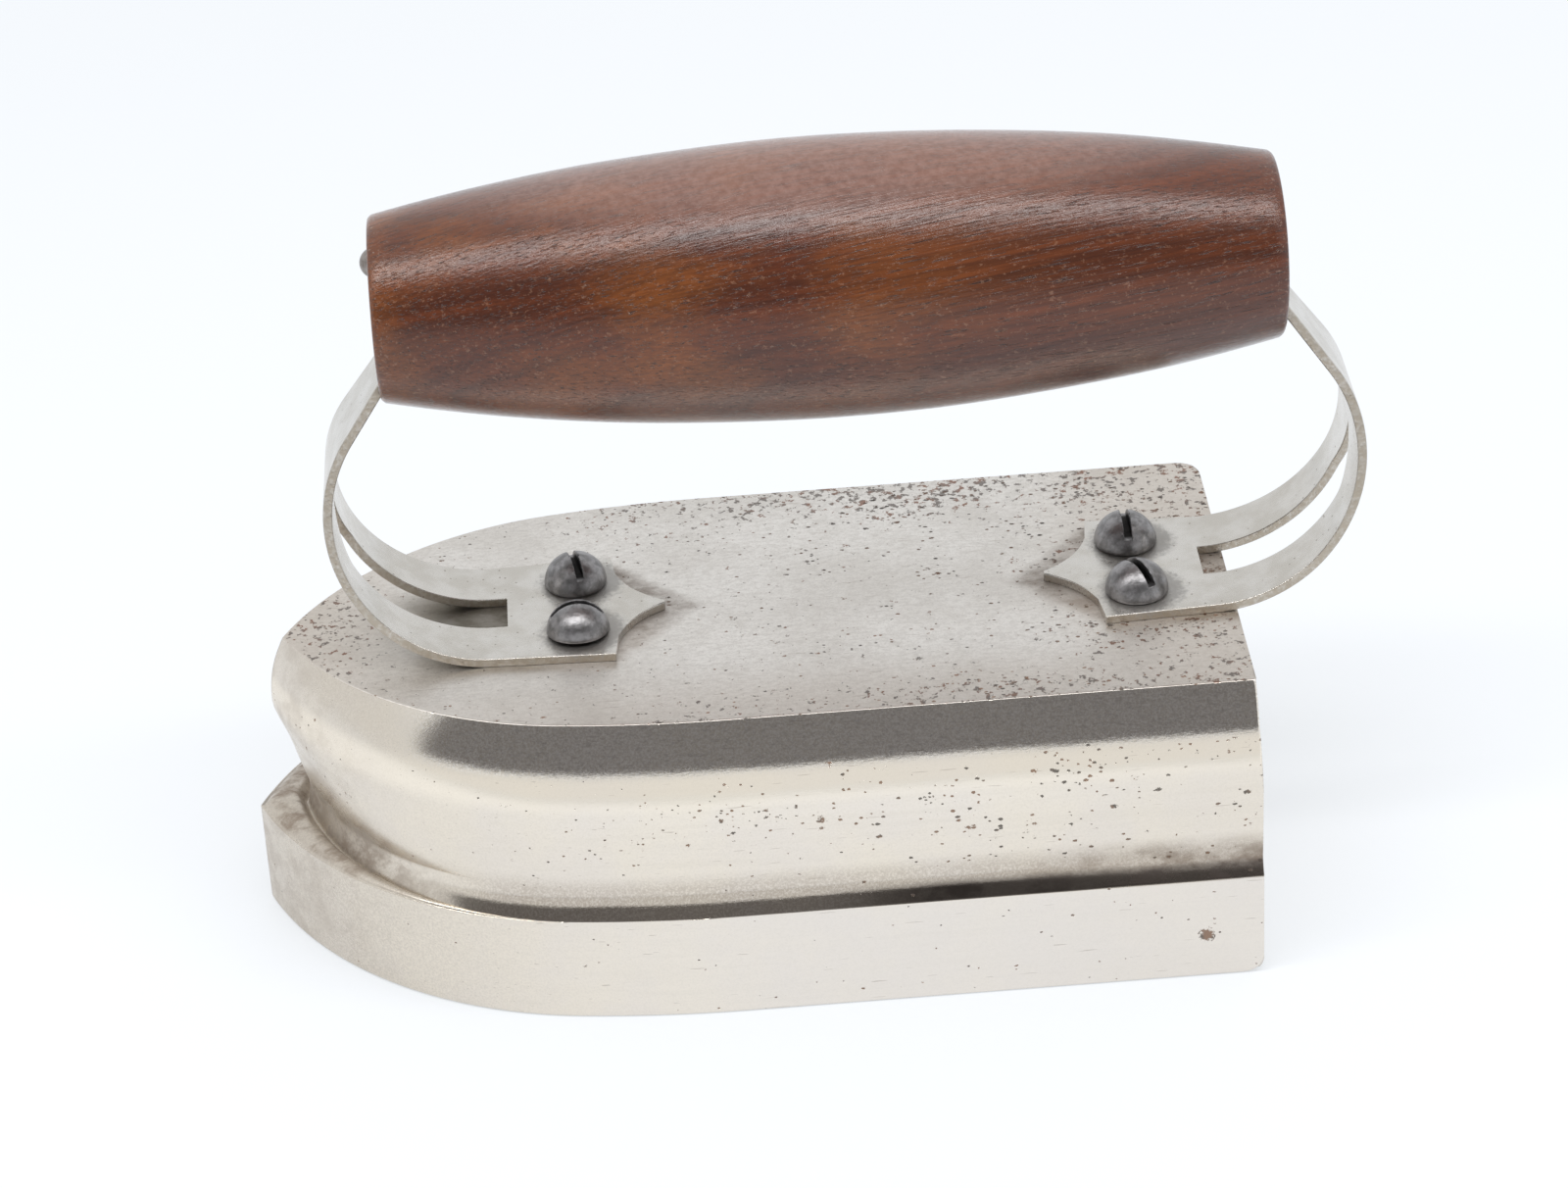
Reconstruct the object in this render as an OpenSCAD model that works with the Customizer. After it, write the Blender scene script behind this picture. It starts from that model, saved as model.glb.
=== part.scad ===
// Sad iron: a plated cast-iron block, two slotted strap bows and a turned wooden grip.
// The origin is on the sole, midway between nose and heel. The nose points to -X.

/* [Iron body] */
// Length of the sole from nose tip to heel
body_len = 140; // [120:1:170]
// Width of the sole over the flange
flange_w = 74; // [71:0.5:78]
// Width of the flat top between its two edges
top_w = 60.4; // [58:0.2:62]
// Width over the bulging sides at their widest
belly_w = 72.4; // [70:0.2:73]
// Height of the flat top above the sole
body_h = 44.2; // [42:0.2:50]
// Height of the sides' widest level above the sole
belly_z = 29; // [26:0.2:32]
// How far each side draws in between its widest level and the ledge
side_tuck = 1.2; // [0.8:0.1:2.4]
// Height of the flange's outer edge above the sole
flange_h = 16.2; // [14:0.1:18]
// Rounding of the ledge on top of the flange
ledge_round = 1.9; // [1.2:0.1:2.2]
// Distance from the middle of the sole to where the sides start to curve in
shoulder_set = 2.4; // [0:0.2:6]
// Radius of the gentle curve that leads from each side into the nose
shoulder_r = 160; // [140:5:200]
// How far the side turns along that gentle curve, in degrees
shoulder_turn = 8.4; // [6:0.2:10]
// Distance from the flange's nose tip back to the tip of the flat top
top_setback = 6.1; // [4.5:0.1:7]
// How far the nose reaches out past the tip of the flat top
nose_bulge = 2.6; // [1.5:0.1:3]
// Height of the nose's foremost point above the sole
nose_lip_z = 33.8; // [32:0.2:36]
// Forward lean of the nose below its foremost point, in degrees
nose_rake = 16; // [10:0.5:18]
// Rounding of the sole's rear edge
heel_round = 2.5; // [1:0.1:4]

/* [Bows] */
// Thickness of the strap
strap_t = 1.3; // [1.2:0.1:1.6]
// Outer radius of each bow
bow_r = 21.8; // [21:0.2:22.4]
// Width of each pad across its two corners
pad_w = 26.4; // [25:0.2:30]
// Width of the strap where it starts to curl
curl_w = 24.6; // [23:0.2:25]
// Width of the strap where it enters the grip
entry_w = 10.4; // [8:0.2:10.6]
// Length of a pad from its corners to its point
pad_point_len = 7.3; // [6:0.1:8]
// Radius of the two hollow curves that shape the point
pad_arc_r = 13.3; // [12:0.1:16]
// Blunt width of the point
pad_tip_w = 1; // [0.6:0.1:2]
// Distance from the point to the screws
screw_from_tip = 12.4; // [11.5:0.1:13.5]
// Distance from the point to the square end of the slot
slot_from_tip = 22.3; // [20:0.1:23]
// Width of the slot between the two legs
slot_w = 7.4; // [5:0.1:8]
// Height above the pad where the slot starts to narrow
slot_taper_z = 13; // [10:0.5:15]
// Height above the pad where the slot closes
slot_top_z = 22; // [20:0.5:24]
// Flat length of the front pad, from its point to where the strap starts to curl
front_flat = 24.2; // [23:0.1:26]
// Flat length of the rear pad
rear_flat = 22.6; // [22.3:0.1:25]
// Place of the front curl's start along the body
front_curl_x = -34; // [-35:0.1:-33]
// Place of the rear curl's start along the body
rear_curl_x = 66.6; // [65.5:0.1:67.5]

/* [Grip] */
// Length of the wooden grip
grip_len = 123; // [122:0.5:124]
// Place of the grip's middle along the body
grip_x = 15.4; // [15:0.1:16]
// Height of the grip's axis above the flat top
grip_rise = 50.8; // [50.2:0.1:51.2]
// Largest diameter, at the belly
grip_d = 38.4; // [35:0.1:40]
// Diameter at the two ends
grip_end_d = 25.4; // [25.2:0.1:28]
// Easing of the end rims
grip_chamfer = 0.4; // [0.2:0.1:0.5]

/* [Screws and nails] */
// Diameter of the round screw heads
head_d = 8.9; // [8:0.1:9.2]
// Height of the screw heads
head_h = 4.6; // [3:0.1:4.6]
// Diameter of the screw shanks
screw_d = 4.8; // [4:0.1:5]
// Depth of the screws below the top of the body
screw_depth = 12; // [8:0.5:16]
// Distance between the two screws of a pad
screw_gap = 13.4; // [12.5:0.1:14]
// Width of the screwdriver slot
driver_slot_w = 1.1; // [0.8:0.1:1.4]
// Depth of the screwdriver slot
driver_slot_h = 2.2; // [1:0.1:2.4]
// Diameter of the grip nails' heads
nail_head_d = 4; // [3:0.1:4.2]
// Height of the grip nails' domed heads
nail_head_h = 1.4; // [0.8:0.1:1.8]
// Diameter of the grip nails' shanks
nail_d = 1.8; // [1.4:0.1:2.2]
// Length of the grip nails under the head
nail_len = 20; // [12:0.5:25]
// Height of the front nail above the grip's axis
front_nail_rise = 7.1; // [6.5:0.1:8]
// Height of the rear nail above the grip's axis
rear_nail_rise = 3.2; // [3:0.1:8]

/* [Hidden] */
$fn = 96;
belly_facets = 360;
ledge_steps = 5;
shoulder_steps = 4;
nose_steps = 16;
wall_steps = 6;
lip_steps = 9;

top_half = top_w / 2;
belly_half = belly_w / 2;
flange_half = flange_w / 2;
nose_x = -body_len / 2;
heel_x = body_len / 2;
top_tip_x = nose_x + top_setback;
lip_tip_x = top_tip_x - nose_bulge;
grip_z = body_h + grip_rise;

// Radius of an arc that moves sideways by one distance over a height, starting upright
function lean_r(sideways, height) = (sideways * sideways + height * height) / (2 * sideways);
lip_r = lean_r(belly_half - top_half, body_h - belly_z);
nose_lip_r = lean_r(nose_bulge, body_h - nose_lip_z);

// The ledge runs in from the flange's edge, then dips towards the foot of the nose
ledge_crest_in = 3.4;
ledge_dip_in = 5.4;
ledge_foot_in = 8.6;
ledge_foot_drop = 0.4;
ledge_foot_z = flange_h - ledge_foot_drop;

// The upper body starts this far down inside the flange, so that the two are one casting
crown_root = 4;
crown_foot_z = flange_h - crown_root;

// Where the strap stops curling and runs on straight as the tang inside the grip
curl_end_a = 35;
tang_len = 18;
tang_top_z = 62;
tang_root = 0.4;
entry_drop = 9;
slot_end_w = 0.6;
strap_clear = 0.1;
hole_clear = 0.1;

// Height of the upright rim below the dome of a screw head
head_rim_h = 0.6;

// How far each screw's slot is turned from the X axis, in degrees
front_near_turn = 2;
front_far_turn = -78;
rear_near_turn = -62;
rear_far_turn = -89;

// Overlap of joined shapes, how far a cut runs past the surface, and the size of the largest cuts
eps = 0.01;
over = 1;
reach = 200;

// Points along an arc, from angle a0 to angle a1
function arc_points(c, r, a0, a1, n) =
    [for (i = [0:n]) c + r * [cos(a0 + (a1 - a0) * i / n), sin(a0 + (a1 - a0) * i / n)]];

// Outline of one side: a straight run, a gentle shoulder arc, then a nose arc that meets the centre line
turn_dir = [-sin(shoulder_turn), cos(shoulder_turn)];
function shoulder_centre(half_w) = [-shoulder_set, half_w - shoulder_r];
function join_point(half_w) = shoulder_centre(half_w) + shoulder_r * turn_dir;
function nose_r(half_w, tip_x) =
    let (d = [tip_x, 0] - join_point(half_w)) -(d * d) / (2 * (d * turn_dir));
function nose_centre(half_w, tip_x) = join_point(half_w) - nose_r(half_w, tip_x) * turn_dir;

// Half section of the flange with its rounded ledge
module flange_profile() {
    polygon(concat(
        [[0, 0], [flange_half, 0]],
        arc_points([flange_half - ledge_round, flange_h], ledge_round, 0, 90, ledge_steps),
        [[flange_half - ledge_crest_in, flange_h + ledge_round],
         [flange_half - ledge_dip_in, flange_h + ledge_round / 3],
         [flange_half - ledge_foot_in, ledge_foot_z], [0, ledge_foot_z]]));
}

// Turns a half section round a vertical axis, with the outline at radius r
module turned(centre, r, half_w) {
    translate(centre)
        rotate_extrude()
            translate([r - half_w, 0])
                children();
}

// Sweeps a half section along the outline of one side, on the +Y side of the centre line
module swept_half(half_w, tip_x) {
    far = reach * turn_dir;
    join_foot = join_point(half_w) - join_point(half_w)[1] / turn_dir[1] * turn_dir;
    translate([-shoulder_set, 0, 0])
        rotate([90, 0, 90])
            linear_extrude(heel_x + shoulder_set)
                children();
    intersection() {
        turned(shoulder_centre(half_w), shoulder_r, half_w) children();
        translate([0, 0, -over])
            linear_extrude(reach)
                polygon([[-shoulder_set, 0], [-shoulder_set, reach], join_foot + far, join_foot]);
    }
    intersection() {
        turned(nose_centre(half_w, tip_x), nose_r(half_w, tip_x), half_w) children();
        translate([0, 0, -over])
            linear_extrude(reach)
                polygon([join_foot, join_foot + far, [-reach, reach], [-reach, 0]]);
    }
}

// Half width of the upper body at a height on its straight part
function crown_half(z) =
    z < belly_z
        ? belly_half - side_tuck * pow((belly_z - z) / (belly_z - flange_h), 2)
        : belly_half - lip_r + sqrt(lip_r * lip_r - pow(z - belly_z, 2));

// Foremost point of the upper body at a height
function crown_tip(z) =
    z < nose_lip_z
        ? lip_tip_x + (nose_lip_z - z) * tan(nose_rake)
        : lip_tip_x + nose_lip_r - sqrt(nose_lip_r * nose_lip_r - pow(z - nose_lip_z, 2));

// One side of the upper body's outline at a height, from the heel to the tip
function crown_side(z) =
    let (half_w = crown_half(z),
         tip_x = crown_tip(z),
         nose = nose_centre(half_w, tip_x),
         nose_start = 90 + shoulder_turn,
         nose_end = 180 - asin(-nose[1] / nose_r(half_w, tip_x)))
    concat([[heel_x, half_w]],
           arc_points(shoulder_centre(half_w), shoulder_r, 90, nose_start, shoulder_steps),
           [for (i = [1:nose_steps])
                nose + nose_r(half_w, tip_x) * [cos(nose_start + (nose_end - nose_start) * i / nose_steps),
                                                sin(nose_start + (nose_end - nose_start) * i / nose_steps)]]);

// Upper part of the body: sides that bulge to a rounded lip, and a nose that leans forward like a bow
module crown() {
    levels = concat([for (i = [0:wall_steps]) crown_foot_z + (belly_z - crown_foot_z) * i / wall_steps],
                    [for (i = [1:lip_steps]) belly_z + (body_h - belly_z) * i / lip_steps]);
    side_count = shoulder_steps + nose_steps + 2;
    ring_count = 2 * side_count - 1;
    points = [for (z = levels)
                  let (side = crown_side(z))
                  for (j = [0:ring_count - 1])
                      j < side_count - 1 ? [side[j][0], -side[j][1], z]
                      : j == side_count - 1 ? [side[j][0], 0, z]
                      : [side[ring_count - 1 - j][0], side[ring_count - 1 - j][1], z]];
    walls = [for (i = [0:len(levels) - 2])
                 for (j = [0:ring_count - 1])
                     let (a = i * ring_count + j,
                          b = i * ring_count + (j + 1) % ring_count)
                     each [[a, b, b + ring_count], [a, b + ring_count, a + ring_count]]];
    bottom = [for (j = [ring_count - 1:-1:0]) j];
    top = [for (j = [0:ring_count - 1]) (len(levels) - 1) * ring_count + j];
    polyhedron(points, concat(walls, [bottom, top]));
}

// Rounds the sole's rear edge
module heel_edge_cut() {
    difference() {
        translate([heel_x - heel_round, -reach / 2, -heel_round])
            cube([2 * heel_round, reach, 2 * heel_round]);
        translate([heel_x - heel_round, 0, heel_round])
            rotate([90, 0, 0])
                cylinder(h = reach + 2 * over, r = heel_round, center = true);
    }
}

// Centre of a screw, with side -1 for the near row and 1 for the far row
function screw_y(side) = side * screw_gap / 2;
front_screw_x = front_curl_x + front_flat - screw_from_tip;
rear_screw_x = rear_curl_x - rear_flat + screw_from_tip;

module iron_body() {
    color("lightgray")
        difference() {
            union() {
                for (side = [0, 1])
                    mirror([0, side, 0])
                        swept_half(flange_half, nose_x)
                            flange_profile();
                crown();
            }
            heel_edge_cut();
            for (x = [front_screw_x, rear_screw_x])
                for (side = [-1, 1])
                    translate([x, screw_y(side), body_h - screw_depth - over])
                        cylinder(h = screw_depth + 2 * over, d = screw_d + 2 * hole_clear);
        }
}

// Side view of a strap: flat pad, curl and straight tang, with grow added all round the tang
module strap_side(flat, grow) {
    dir = [-sin(curl_end_a), cos(curl_end_a)];
    out = [cos(curl_end_a), sin(curl_end_a)];
    start = [0, bow_r] + bow_r * out;
    far = 3 * bow_r;
    translate([-flat, 0])
        square([flat, strap_t]);
    difference() {
        translate([0, bow_r])
            circle(r = bow_r);
        translate([0, bow_r])
            circle(r = bow_r - strap_t);
        polygon([[0, -over], [0, bow_r], [0, bow_r] + far * out,
                 [far, far + bow_r], [-far, far + bow_r], [-far, -over]]);
    }
    polygon([start + grow * out, start + grow * out + (tang_len + grow) * dir,
             start - (strap_t + grow) * out + (tang_len + grow) * dir, start - (strap_t + grow) * out,
             start - (strap_t - tang_root) * out - tang_root * dir, start - tang_root * out - tang_root * dir]);
}

// Face view of a strap's flat part, from its corners to where it starts to curl
module strap_flat_view(flat) {
    polygon([[-flat, -pad_w / 2], [pad_point_len - flat, -pad_w / 2], [0, -curl_w / 2], [2 * bow_r, -curl_w / 2],
             [2 * bow_r, curl_w / 2], [0, curl_w / 2], [pad_point_len - flat, pad_w / 2], [-flat, pad_w / 2]]);
}

// End view of a strap: full width at the pad, tapering evenly up to the grip
module strap_end_view(grow) {
    slope = (curl_w - entry_w) / 2 / (grip_rise - entry_drop);
    half_w = function (h) curl_w / 2 - slope * h + grow;
    polygon([[-pad_w, -over], [pad_w, -over], [pad_w, strap_t], [half_w(strap_t), strap_t],
             [half_w(tang_top_z), tang_top_z], [-half_w(tang_top_z), tang_top_z],
             [-half_w(strap_t), strap_t], [-pad_w, strap_t]]);
}

// Slot in the strap: square end at the pad, closing to a point part way up the bow
module slot_cut(flat) {
    translate([slot_from_tip - flat, 0, 0])
        rotate([90, 0, 90])
            linear_extrude(3 * bow_r)
                polygon([[-slot_w / 2, -over], [slot_w / 2, -over], [slot_w / 2, slot_taper_z],
                         [slot_end_w / 2, slot_top_z], [-slot_end_w / 2, slot_top_z], [-slot_w / 2, slot_taper_z]]);
}

// Two hollow curves that turn the pad's end into a blunt point
module point_cut(flat) {
    corner = [pad_point_len - flat, pad_w / 2];
    tip = [-flat, pad_tip_w / 2];
    mid = (corner + tip) / 2;
    half_chord = norm(corner - tip) / 2;
    along = (tip - corner) / (2 * half_chord);
    centre = mid + sqrt(pad_arc_r * pad_arc_r - half_chord * half_chord) * [along[1], -along[0]];
    for (side = [0, 1])
        mirror([0, side, 0])
            translate([0, 0, -over])
                linear_extrude(strap_t + 2 * over)
                    intersection() {
                        translate(centre)
                            circle(r = pad_arc_r);
                        translate([corner[0] - pad_w, tip[1]])
                            square(pad_w);
                    }
}

// One bow, with its curl starting at the origin and running out along +X
module bow(flat, grow = 0) {
    difference() {
        intersection() {
            rotate([90, 0, 0])
                linear_extrude(pad_w + 2 * over, center = true)
                    strap_side(flat, grow);
            translate([-flat - over, 0, 0])
                rotate([90, 0, 90])
                    linear_extrude(flat + over + 2 * bow_r)
                        strap_end_view(grow);
            translate([0, 0, -over])
                linear_extrude(tang_top_z + over)
                    strap_flat_view(flat);
        }
        slot_cut(flat);
        point_cut(flat);
        translate([screw_from_tip - flat, 0, -over])
            for (side = [-1, 1])
                translate([0, screw_y(side), 0])
                    cylinder(h = strap_t + 2 * over, d = screw_d + 2 * hole_clear);
    }
}

module front_bow_place(grow = 0) {
    translate([front_curl_x, 0, body_h])
        mirror([1, 0, 0])
            bow(front_flat, grow);
}

module rear_bow_place(grow = 0) {
    translate([rear_curl_x, 0, body_h])
        bow(rear_flat, grow);
}

module front_bow() {
    color("silver")
        front_bow_place();
}

module rear_bow() {
    color("silver")
        rear_bow_place();
}

// Height of a grip nail above the sole, with end -1 at the nose and 1 at the heel
function nail_z(end) = grip_z + (end < 0 ? front_nail_rise : rear_nail_rise);

// Half section of the barrel-shaped grip, with its end rims eased
module grip_profile() {
    half_len = grip_len / 2;
    sag = (grip_d - grip_end_d) / 2;
    belly_r = (half_len * half_len + sag * sag) / (2 * sag);
    intersection() {
        translate([grip_d / 2 - belly_r, 0])
            circle(r = belly_r, $fn = belly_facets);
        polygon([[0, -half_len], [grip_end_d / 2 - grip_chamfer, -half_len],
                 [grip_end_d / 2 + grip_chamfer, 2 * grip_chamfer - half_len], [grip_d, 0],
                 [grip_end_d / 2 + grip_chamfer, half_len - 2 * grip_chamfer],
                 [grip_end_d / 2 - grip_chamfer, half_len], [0, half_len]]);
    }
}

module wood_grip() {
    color("saddlebrown")
        difference() {
            translate([grip_x, 0, grip_z])
                rotate([0, 90, 0])
                    rotate_extrude()
                        grip_profile();
            front_bow_place(strap_clear);
            rear_bow_place(strap_clear);
            for (end = [-1, 1])
                translate([grip_x + end * (grip_len - nail_len) / 2, 0, nail_z(end)])
                    rotate([0, 90, 0])
                        cylinder(h = nail_len + over, d = nail_d + hole_clear, center = true);
        }
}

// Round-head slotted screw standing on the pad, with the slot turned from the X axis
module screw(x, side, slot_turn) {
    cap_h = head_h - head_rim_h;
    cap_r = (head_d * head_d / 4 + cap_h * cap_h) / (2 * cap_h);
    color("dimgray")
        translate([x, screw_y(side), body_h + strap_t])
            difference() {
                union() {
                    rotate_extrude()
                        intersection() {
                            translate([0, head_h - cap_r])
                                circle(r = cap_r);
                            translate([0, head_rim_h])
                                square([head_d, head_d]);
                        }
                    cylinder(h = head_rim_h, d = head_d);
                    translate([0, 0, -strap_t - screw_depth])
                        cylinder(h = strap_t + screw_depth + eps, d = screw_d);
                }
                rotate([0, 0, slot_turn])
                    translate([-head_d, -driver_slot_w / 2, head_h - driver_slot_h])
                        cube([2 * head_d, driver_slot_w, head_h]);
            }
}

// Domed nail driven into the grip's end grain
module grip_nail(end) {
    dome_r = (nail_head_d * nail_head_d / 4 + nail_head_h * nail_head_h) / (2 * nail_head_h);
    color("gray")
        translate([grip_x + end * grip_len / 2, 0, nail_z(end)])
            rotate([0, 90 * end, 0]) {
                rotate_extrude()
                    intersection() {
                        translate([0, nail_head_h - dome_r])
                            circle(r = dome_r);
                        square([nail_head_d, nail_head_d]);
                    }
                translate([0, 0, -nail_len])
                    cylinder(h = nail_len + eps, d = nail_d);
            }
}

iron_body();
front_bow();
rear_bow();
wood_grip();
screw(front_screw_x, -1, front_near_turn);  // front_screw_near
screw(front_screw_x, 1, front_far_turn);  // front_screw_far
screw(rear_screw_x, -1, rear_near_turn);  // rear_screw_near
screw(rear_screw_x, 1, rear_far_turn);  // rear_screw_far
grip_nail(-1);  // front_grip_nail
grip_nail(1);  // rear_grip_nail
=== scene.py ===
"""Sad iron: a plated cast-iron block, two slotted strap bows, a lacquered wooden grip, screws and nails.

Lengths are in millimetres until a mesh is made, and the stage is in metres. The nose points to -X and the
near side to -Y, and the iron stands on the XY plane.
"""

import math
from functools import reduce

import bmesh
import bpy
from mathutils import Matrix, Vector, noise


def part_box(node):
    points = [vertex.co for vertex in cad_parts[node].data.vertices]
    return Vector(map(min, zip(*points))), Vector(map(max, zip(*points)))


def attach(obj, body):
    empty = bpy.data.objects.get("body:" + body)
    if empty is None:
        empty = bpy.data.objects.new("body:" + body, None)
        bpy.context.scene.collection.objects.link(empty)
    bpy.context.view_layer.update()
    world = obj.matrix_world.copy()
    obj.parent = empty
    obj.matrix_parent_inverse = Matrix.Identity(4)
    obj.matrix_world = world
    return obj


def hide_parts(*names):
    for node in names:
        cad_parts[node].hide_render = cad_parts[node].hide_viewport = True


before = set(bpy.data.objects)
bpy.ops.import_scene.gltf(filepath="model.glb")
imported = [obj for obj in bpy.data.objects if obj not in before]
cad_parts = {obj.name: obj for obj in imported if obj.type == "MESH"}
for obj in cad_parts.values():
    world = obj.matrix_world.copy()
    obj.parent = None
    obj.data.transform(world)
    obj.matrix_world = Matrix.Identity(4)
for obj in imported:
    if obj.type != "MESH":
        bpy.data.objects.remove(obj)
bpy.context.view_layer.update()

MM = 0.001
SAME_POINT = 0.002
scene = bpy.context.scene


def box_mm(node):
    """Lowest and highest corner of a CAD node, in millimetres."""
    low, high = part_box(node)
    return low / MM, high / MM


def middle_mm(node):
    """Middle of a CAD node's box, in millimetres."""
    return sum(box_mm(node), Vector()) / 2


def smooth(low, high, value):
    """0 below low, 1 above high, and an even S-curve between them."""
    t = min(1, max(0, (value - low) / (high - low)))
    return t * t * (3 - 2 * t)


def spread(start, end, count):
    """count + 1 even steps from start to end."""
    return [start + (end - start) * i / count for i in range(count + 1)]


def arc_radius(rise, half_chord):
    """Radius of an arc that rises this far over half its chord."""
    return (half_chord**2 + rise**2) / (2 * rise)


# ---------------------------------------------------------------- mesh helpers


def shade_smooth(mesh):
    mesh.polygons.foreach_set("use_smooth", [True] * len(mesh.polygons))


def make_piece(name, verts, faces, node):
    """A smooth piece from points in millimetres, on the root body, standing for a CAD node."""
    mesh = bpy.data.meshes.new(name)
    mesh.from_pydata([Vector(v) * MM for v in verts], [], faces)
    build = bmesh.new()
    build.from_mesh(mesh)
    bmesh.ops.remove_doubles(build, verts=build.verts, dist=SAME_POINT * MM)
    bmesh.ops.recalc_face_normals(build, faces=build.faces)
    build.to_mesh(mesh)
    build.free()
    shade_smooth(mesh)
    piece = bpy.data.objects.new(name, mesh)
    scene.collection.objects.link(piece)
    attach(piece, "root")
    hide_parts(node)
    return piece


def ease_edges(piece, width, angle=None):
    """Small rounds where faces meet at more than an angle in degrees, or else at the weighted edges."""
    bevel = piece.modifiers.new("edges", "BEVEL")
    bevel.width = width * MM
    bevel.segments = 2
    bevel.use_clamp_overlap = False
    bevel.harden_normals = True
    if angle is None:
        bevel.limit_method = "WEIGHT"
    else:
        bevel.limit_method = "ANGLE"
        bevel.angle_limit = math.radians(angle)
    normals = piece.modifiers.new("normals", "WEIGHTED_NORMAL")
    normals.keep_sharp = True


def tube_faces(rows, ring):
    """Faces between closed rows of ring points each."""
    faces = []
    for start in range(0, (rows - 1) * ring, ring):
        for k in range(ring):
            a, b = start + k, start + (k + 1) % ring
            faces.append((a, b, b + ring, a + ring))
    return faces


def turned(profile, ring, matrix):
    """Points and faces of a profile (radius, height) turned about Z, then placed by a matrix."""
    verts = []
    for r, z in profile:
        for k in range(ring):
            a = 2 * math.pi * k / ring
            verts.append(matrix @ Vector((r * math.cos(a), r * math.sin(a), z)))
    return verts, tube_faces(len(profile), ring)


# ---------------------------------------------------------------- iron body

body_low, body_high = box_mm("iron_body")
NOSE_X, HEEL_X = body_low.x, body_high.x
BODY_H = body_high.z
FLANGE_HALF = body_high.y

# Plan: straight sides up to the shoulder, then a gentle arc, then the nose arc
TOP_HALF = 30.2
TOP_TIP_X = NOSE_X + 6.1
SHOULDER_X = -2.4
SHOULDER_R = 160
SHOULDER_TURN = math.radians(8.4)

# Side: flange, then the crown with its widest level, the belly, and its lip up to the flat top
FLANGE_H = 16.2
BELLY_Z = 29
BELLY_HALF = 36.2
SIDE_TUCK = 2.5
LIP_R = arc_radius(BELLY_HALF - TOP_HALF, BODY_H - BELLY_Z)
LIP_DROP = 0.06
NOSE_LIP_Z = 33.8
NOSE_LIP_X = -66.5
NOSE_LIP_R = arc_radius(TOP_TIP_X - NOSE_LIP_X, BODY_H - NOSE_LIP_Z)
NOSE_RAKE = 0.285
NOSE_RAKE_START = (-1.5, 4.5)

# Cove: the spread of the crown's foot, out to the flange's edge
COVE_H = 4.4
COVE_CURVE = 1.6
COVE_AT_NOSE = 0.5
HEEL_TUCK = 0.8
HEEL_COVE_H = 2.6
HEEL_COVE_FADE = (38, 72)

# Ledge round the nose: share of the way in, and rise
NOSE_LEDGE = ((0.06, -0.1), (0.12, 0.35), (0.2, 0.75), (0.32, 1.1), (0.45, 1.3), (0.58, 1.4))
NOSE_LEDGE += ((0.7, 1.42), (0.78, 1.25), (0.85, 0.75), (0.91, 0.2), (0.96, -0.1), (1, -0.2))
NOSE_LEDGE_LEN = 6.2

# Eased edges and corners
EDGE_EASE = 0.05
SOLE_EASE = 0.5
SOLE_EASE_TURNS = spread(0.5, math.pi / 2, 2)
TOP_INSET = 0.02
TOP_DROP = 0.015
TOP_EASE = 0.13
HEEL_EASE = 0.16
HEEL_FACE_DEPTH = 0.02
HEEL_EDGE_COS = 0.6
HEEL_ROUND = 2.6
FAR_CORNER_R = 3.6
NEAR_CORNER_R = 0.7
CORNER_START = (28, 40)
CORNER_LEAST = 0.01

# Where rows and columns of points lie
WALL_ROWS = (1, 1.6, 2.2, 2.8, 5, 8, 11, 13.5, FLANGE_H - 0.1)
CROWN_STEPS = 12
HEEL_STEPS = (0, 0.45, 0.9, 1.4, 2, 2.7, 3.6, 5)
STRAIGHT_STEPS, SHOULDER_STEPS, NOSE_STEPS = 18, 7, 30
NOSE_CROWDING = 1.35
HALF_COLUMNS = (0.3, 0.6, 0.8, 0.9, 0.94, 0.965, 0.985)
COLUMNS = [-c for c in reversed(HALF_COLUMNS)] + [0, *HALF_COLUMNS]

# Unevenness of the casting (height, fineness), how much of it the straight keeps, and the nose's nick
CAST_WAVES = ((0.07, 0.09), (0.03, 0.31))
STRAIGHT_WAVE = 0.3
STRAIGHT_WAVE_X = -30
WAVE_MARGIN = 1
HEEL_WAVE_MARGIN = 3
NICK_X, NICK_Z = -65, 28.6
NICK_DEPTH = 0.85
NICK_SPREAD = 2.6
NICK_ACROSS, NICK_UP = 1.3, 0.8


class Outline:
    """One side of the plan: a straight run, a shoulder arc and a nose arc that ends on the centre line."""

    def __init__(self, half_w, tip_x):
        self.half_w = half_w
        self.turn_dir = Vector((-math.sin(SHOULDER_TURN), math.cos(SHOULDER_TURN)))
        self.shoulder = Vector((SHOULDER_X, half_w - SHOULDER_R))
        join = self.shoulder + SHOULDER_R * self.turn_dir
        chord = Vector((tip_x, 0)) - join
        self.nose_r = -chord.length_squared / (2 * chord.dot(self.turn_dir))
        self.nose = join - self.nose_r * self.turn_dir

    def point(self, inset, run):
        """Plan position at an inset. run goes to 1 on the straight, 2 on the shoulder and 3 on the nose."""
        if run <= 1:
            return Vector((HEEL_X + (SHOULDER_X - HEEL_X) * run, self.half_w - inset))
        if run <= 2:
            angle = SHOULDER_TURN * (run - 1)
            centre, radius = self.shoulder, SHOULDER_R - inset
        else:
            radius = self.nose_r - inset
            last = math.acos(-self.nose.y / radius)
            angle = SHOULDER_TURN + (last - SHOULDER_TURN) * (run - 2)
            centre = self.nose
        return centre + radius * Vector((-math.sin(angle), math.cos(angle)))


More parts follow.
